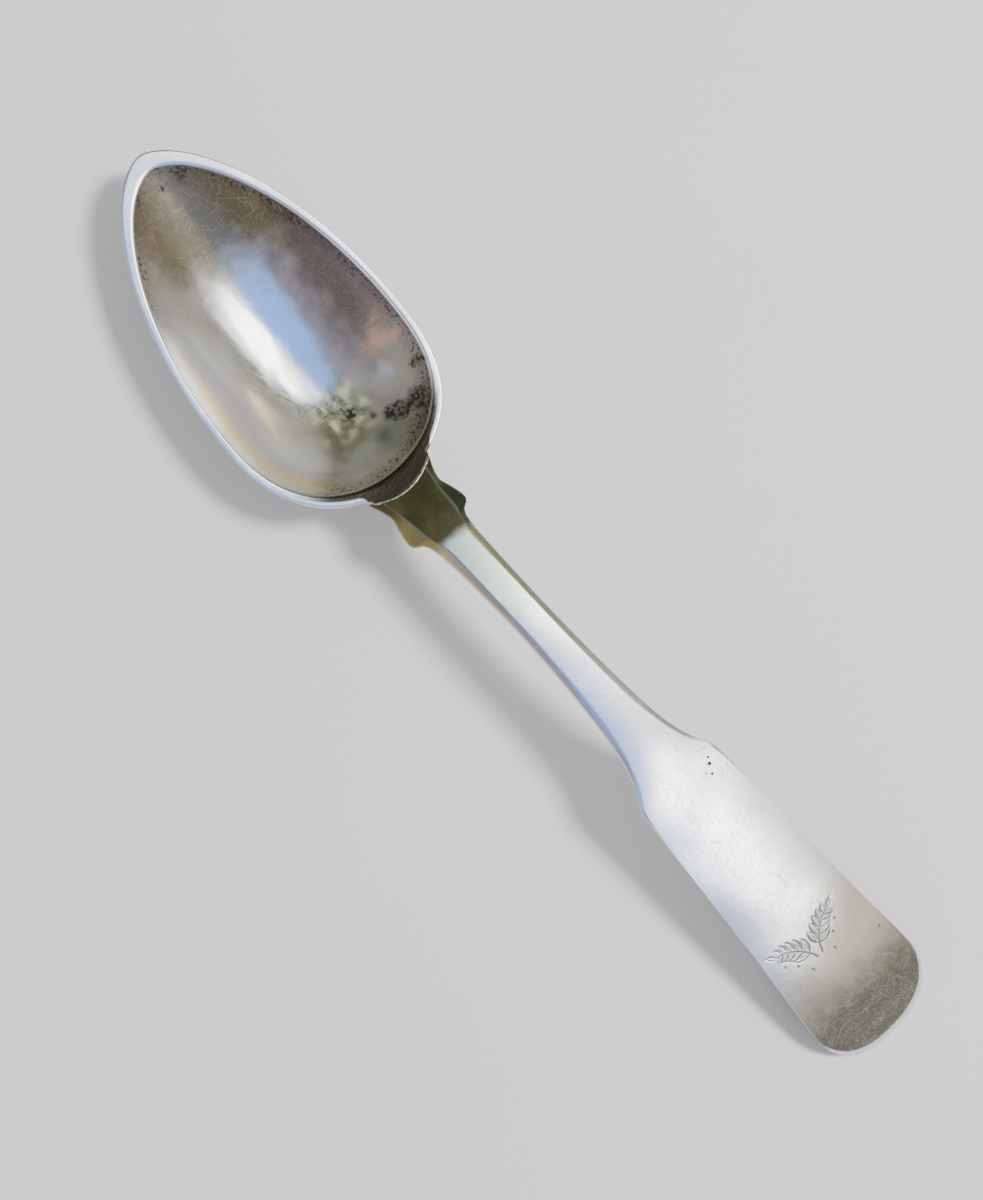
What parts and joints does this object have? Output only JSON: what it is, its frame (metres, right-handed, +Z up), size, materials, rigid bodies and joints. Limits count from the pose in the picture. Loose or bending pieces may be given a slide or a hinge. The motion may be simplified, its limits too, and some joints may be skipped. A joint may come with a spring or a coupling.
{
  "type": "fiddle-handle teaspoon",
  "caption": "Old silver teaspoon with an egg-shaped bowl, finned neck, bevelled stem and fiddle-shaped handle with an engraved end.",
  "frame": {"origin": "on the table under the middle of the spoon's box", "axes": "+X along the spoon from the tip of the bowl to the end of the handle, +Z up with the bowl facing up"},
  "size_m": [0.149, 0.0286, 0.0148],
  "materials": {
    "bowl_silver": "worn polished silver with tarnish",
    "handle_silver": "worn polished silver, darker at the neck and the end, lightly engraved",
    "drop_silver": "worn silver, tarnished along its edge",
    "solder": "silver solder, slightly yellower and duller than the spoon"
  },
  "bodies": {
    "root": {"bowl": "bowl_silver", "handle": "handle_silver", "heel_drop": "drop_silver", "solder_seam": "solder"}
  },
  "joints": []
}
